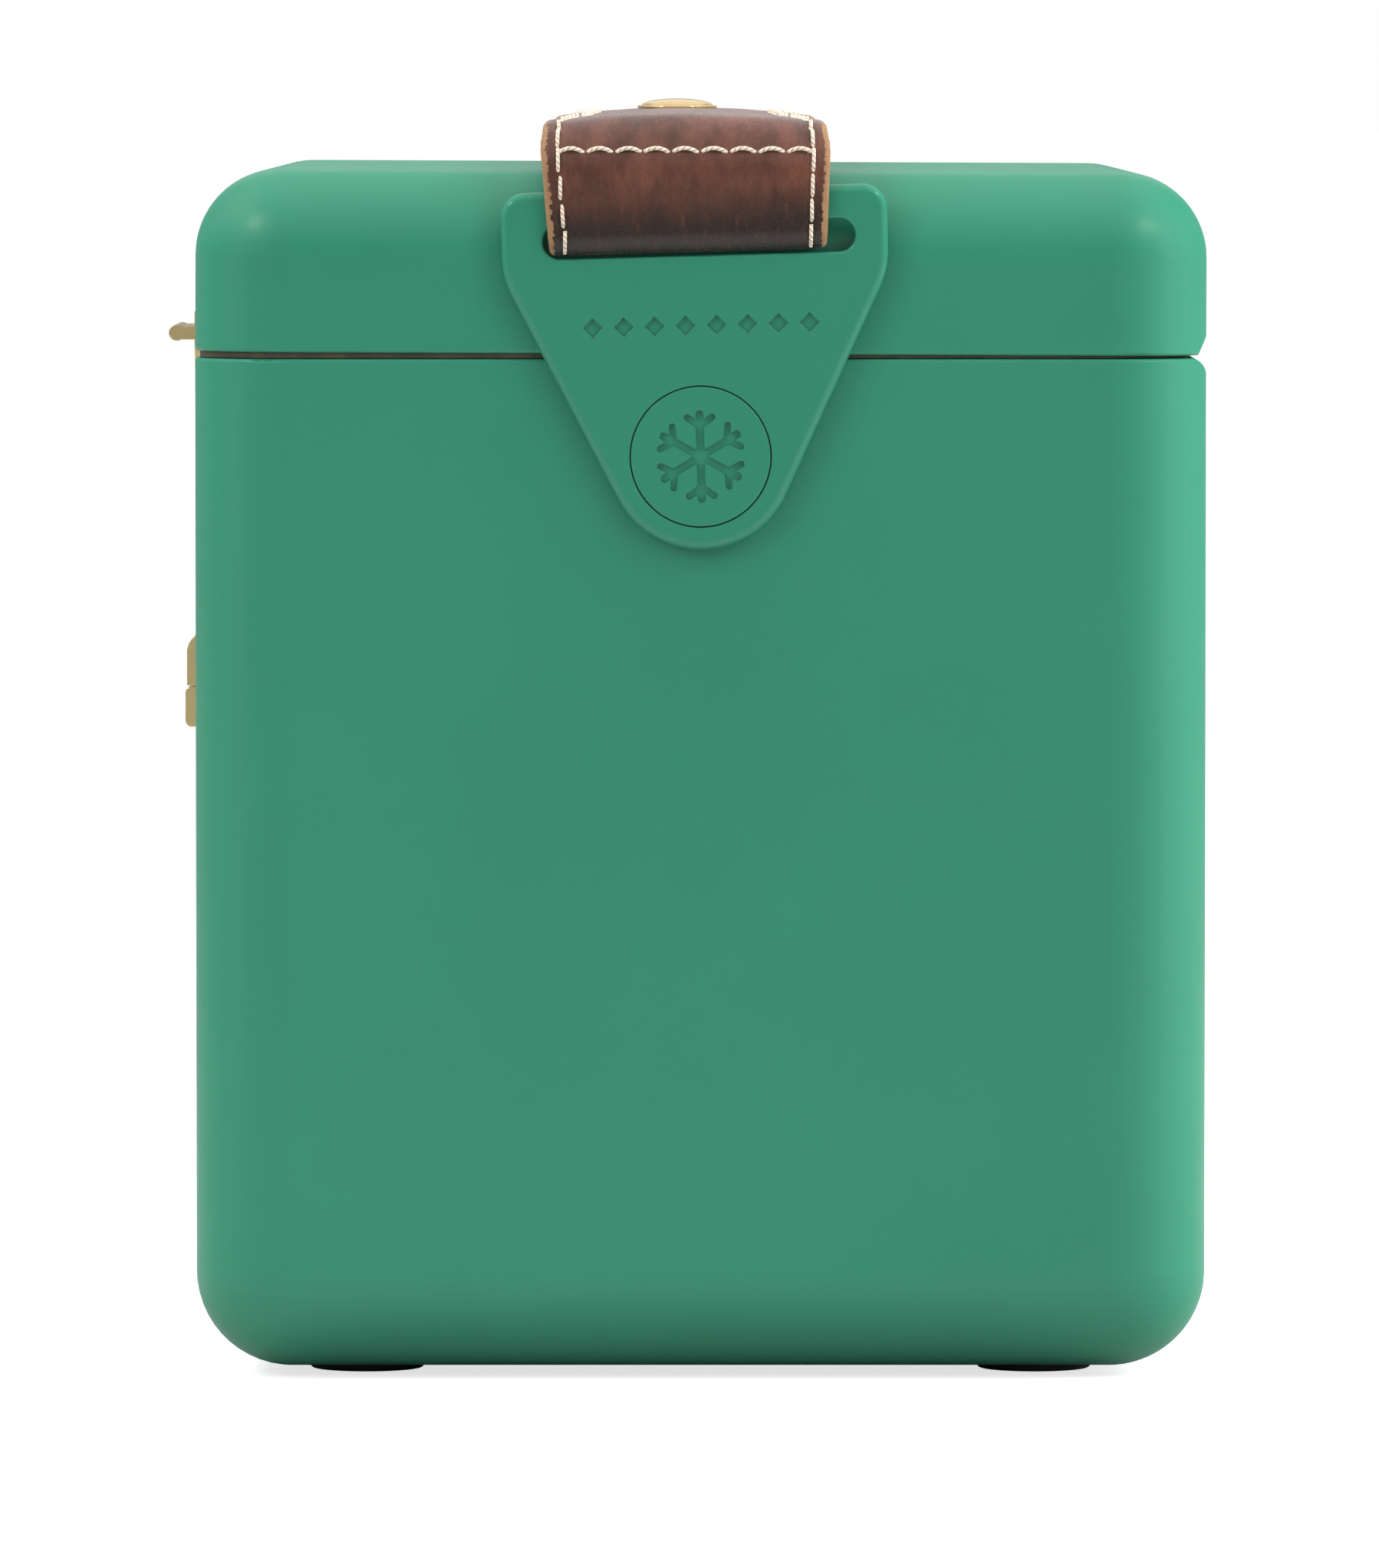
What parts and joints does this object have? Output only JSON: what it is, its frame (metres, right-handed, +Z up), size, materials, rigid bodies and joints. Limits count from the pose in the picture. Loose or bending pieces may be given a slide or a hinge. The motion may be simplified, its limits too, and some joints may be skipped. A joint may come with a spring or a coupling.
{
  "type": "portable cooler box",
  "caption": "Rounded hard-shell portable cooler with a hinged insulated lid, a brass front latch and a leather carrying strap between two locking end plates.",
  "frame": {"origin": "on the floor, under the middle of the whole cooler in plan, latch included", "axes": "+X along the length towards the end shown, -Y towards the front with the latch, +Z up"},
  "size_m": [0.3618, 0.2579, 0.3116],
  "materials": {
    "green_plastic": "satin moulded plastic",
    "plate_plastic": "glossy moulded plastic",
    "cream_plastic": "smooth food-safe plastic",
    "foam": "rigid insulating foam",
    "gasket": "satin silicone rubber",
    "foot_rubber": "matte rubber",
    "brass": "polished pale brass",
    "steel": "brushed stainless steel",
    "leather": "dark brown pull-up leather, tan raw edges, cream stitches",
    "leather_core": "natural undyed leather filler",
    "leather_lining": "brown leather lining"
  },
  "bodies": {
    "body": {"outer_shell": "green_plastic", "inner_liner": "cream_plastic", "body_foam": "foam", "latch_base": "brass", "latch_pin": "brass", "hinge_body_leaf_left": "steel", "hinge_pin_left": "steel", "lock_stud_left": "steel", "latch_screw_left": "brass", "hinge_body_screw_left_inner": "steel", "hinge_body_screw_left_outer": "steel", "foot_front_left": "foot_rubber", "foot_screw_front_left": "steel", "foot_rear_left": "foot_rubber", "foot_screw_rear_left": "steel", "hinge_body_leaf_right": "steel", "hinge_pin_right": "steel", "lock_stud_right": "steel", "latch_screw_right": "brass", "hinge_body_screw_right_inner": "steel", "hinge_body_screw_right_outer": "steel", "foot_front_right": "foot_rubber", "foot_screw_front_right": "steel", "foot_rear_right": "foot_rubber", "foot_screw_rear_right": "steel"},
    "lid": {"lid_shell": "green_plastic", "lid_liner": "cream_plastic", "lid_foam": "foam", "lid_gasket": "gasket", "latch_keeper": "brass", "keeper_screw_left": "brass", "hinge_lid_arm_left": "steel", "hinge_lid_screw_left_inner": "steel", "hinge_lid_screw_left_outer": "steel", "keeper_screw_right": "brass", "hinge_lid_arm_right": "steel", "hinge_lid_screw_right_inner": "steel", "hinge_lid_screw_right_outer": "steel"},
    "handle": {"strap_outer": "leather", "strap_core": "leather_core", "strap_lining": "leather_lining", "strap_button": "brass", "strap_button_washer": "steel", "end_plate_left": "plate_plastic", "lock_retainer_left": "steel", "shoulder_screw_front_left": "steel", "shoulder_screw_rear_left": "steel", "end_plate_right": "plate_plastic", "lock_retainer_right": "steel", "shoulder_screw_front_right": "steel", "shoulder_screw_rear_right": "steel"},
    "lock_disc_left": {"lock_disc_left": "plate_plastic"},
    "lock_disc_right": {"lock_disc_right": "plate_plastic"},
    "latch_lever": {"latch_lever": "brass"}
  },
  "joints": [
    {"name": "lid_hinge", "type": "hinge", "parent": "body", "child": "lid", "pos_m": [0, 0.12495, 0.2439], "axis": [-1, 0, 0], "range_deg": [0, 105]},
    {"name": "handle_rock", "type": "hinge", "parent": "lid", "child": "handle", "pos_m": [0, 0.0055, 0.2254], "axis": [1, 0, 0], "range_deg": [-4.6, 1.4]},
    {"name": "lock_turn_left", "type": "hinge", "parent": "handle", "child": "lock_disc_left", "pos_m": [-0.17515, 0.0055, 0.2254], "axis": [1, 0, 0], "range_deg": [-90, 0]},
    {"name": "lock_turn_right", "type": "hinge", "parent": "handle", "child": "lock_disc_right", "pos_m": [0.17515, 0.0055, 0.2254], "axis": [1, 0, 0], "range_deg": [-90, 0]},
    {"name": "latch_swing", "type": "hinge", "parent": "body", "child": "latch_lever", "pos_m": [0, -0.1216, 0.1694], "axis": [1, 0, 0], "range_deg": [0, 120]}
  ]
}
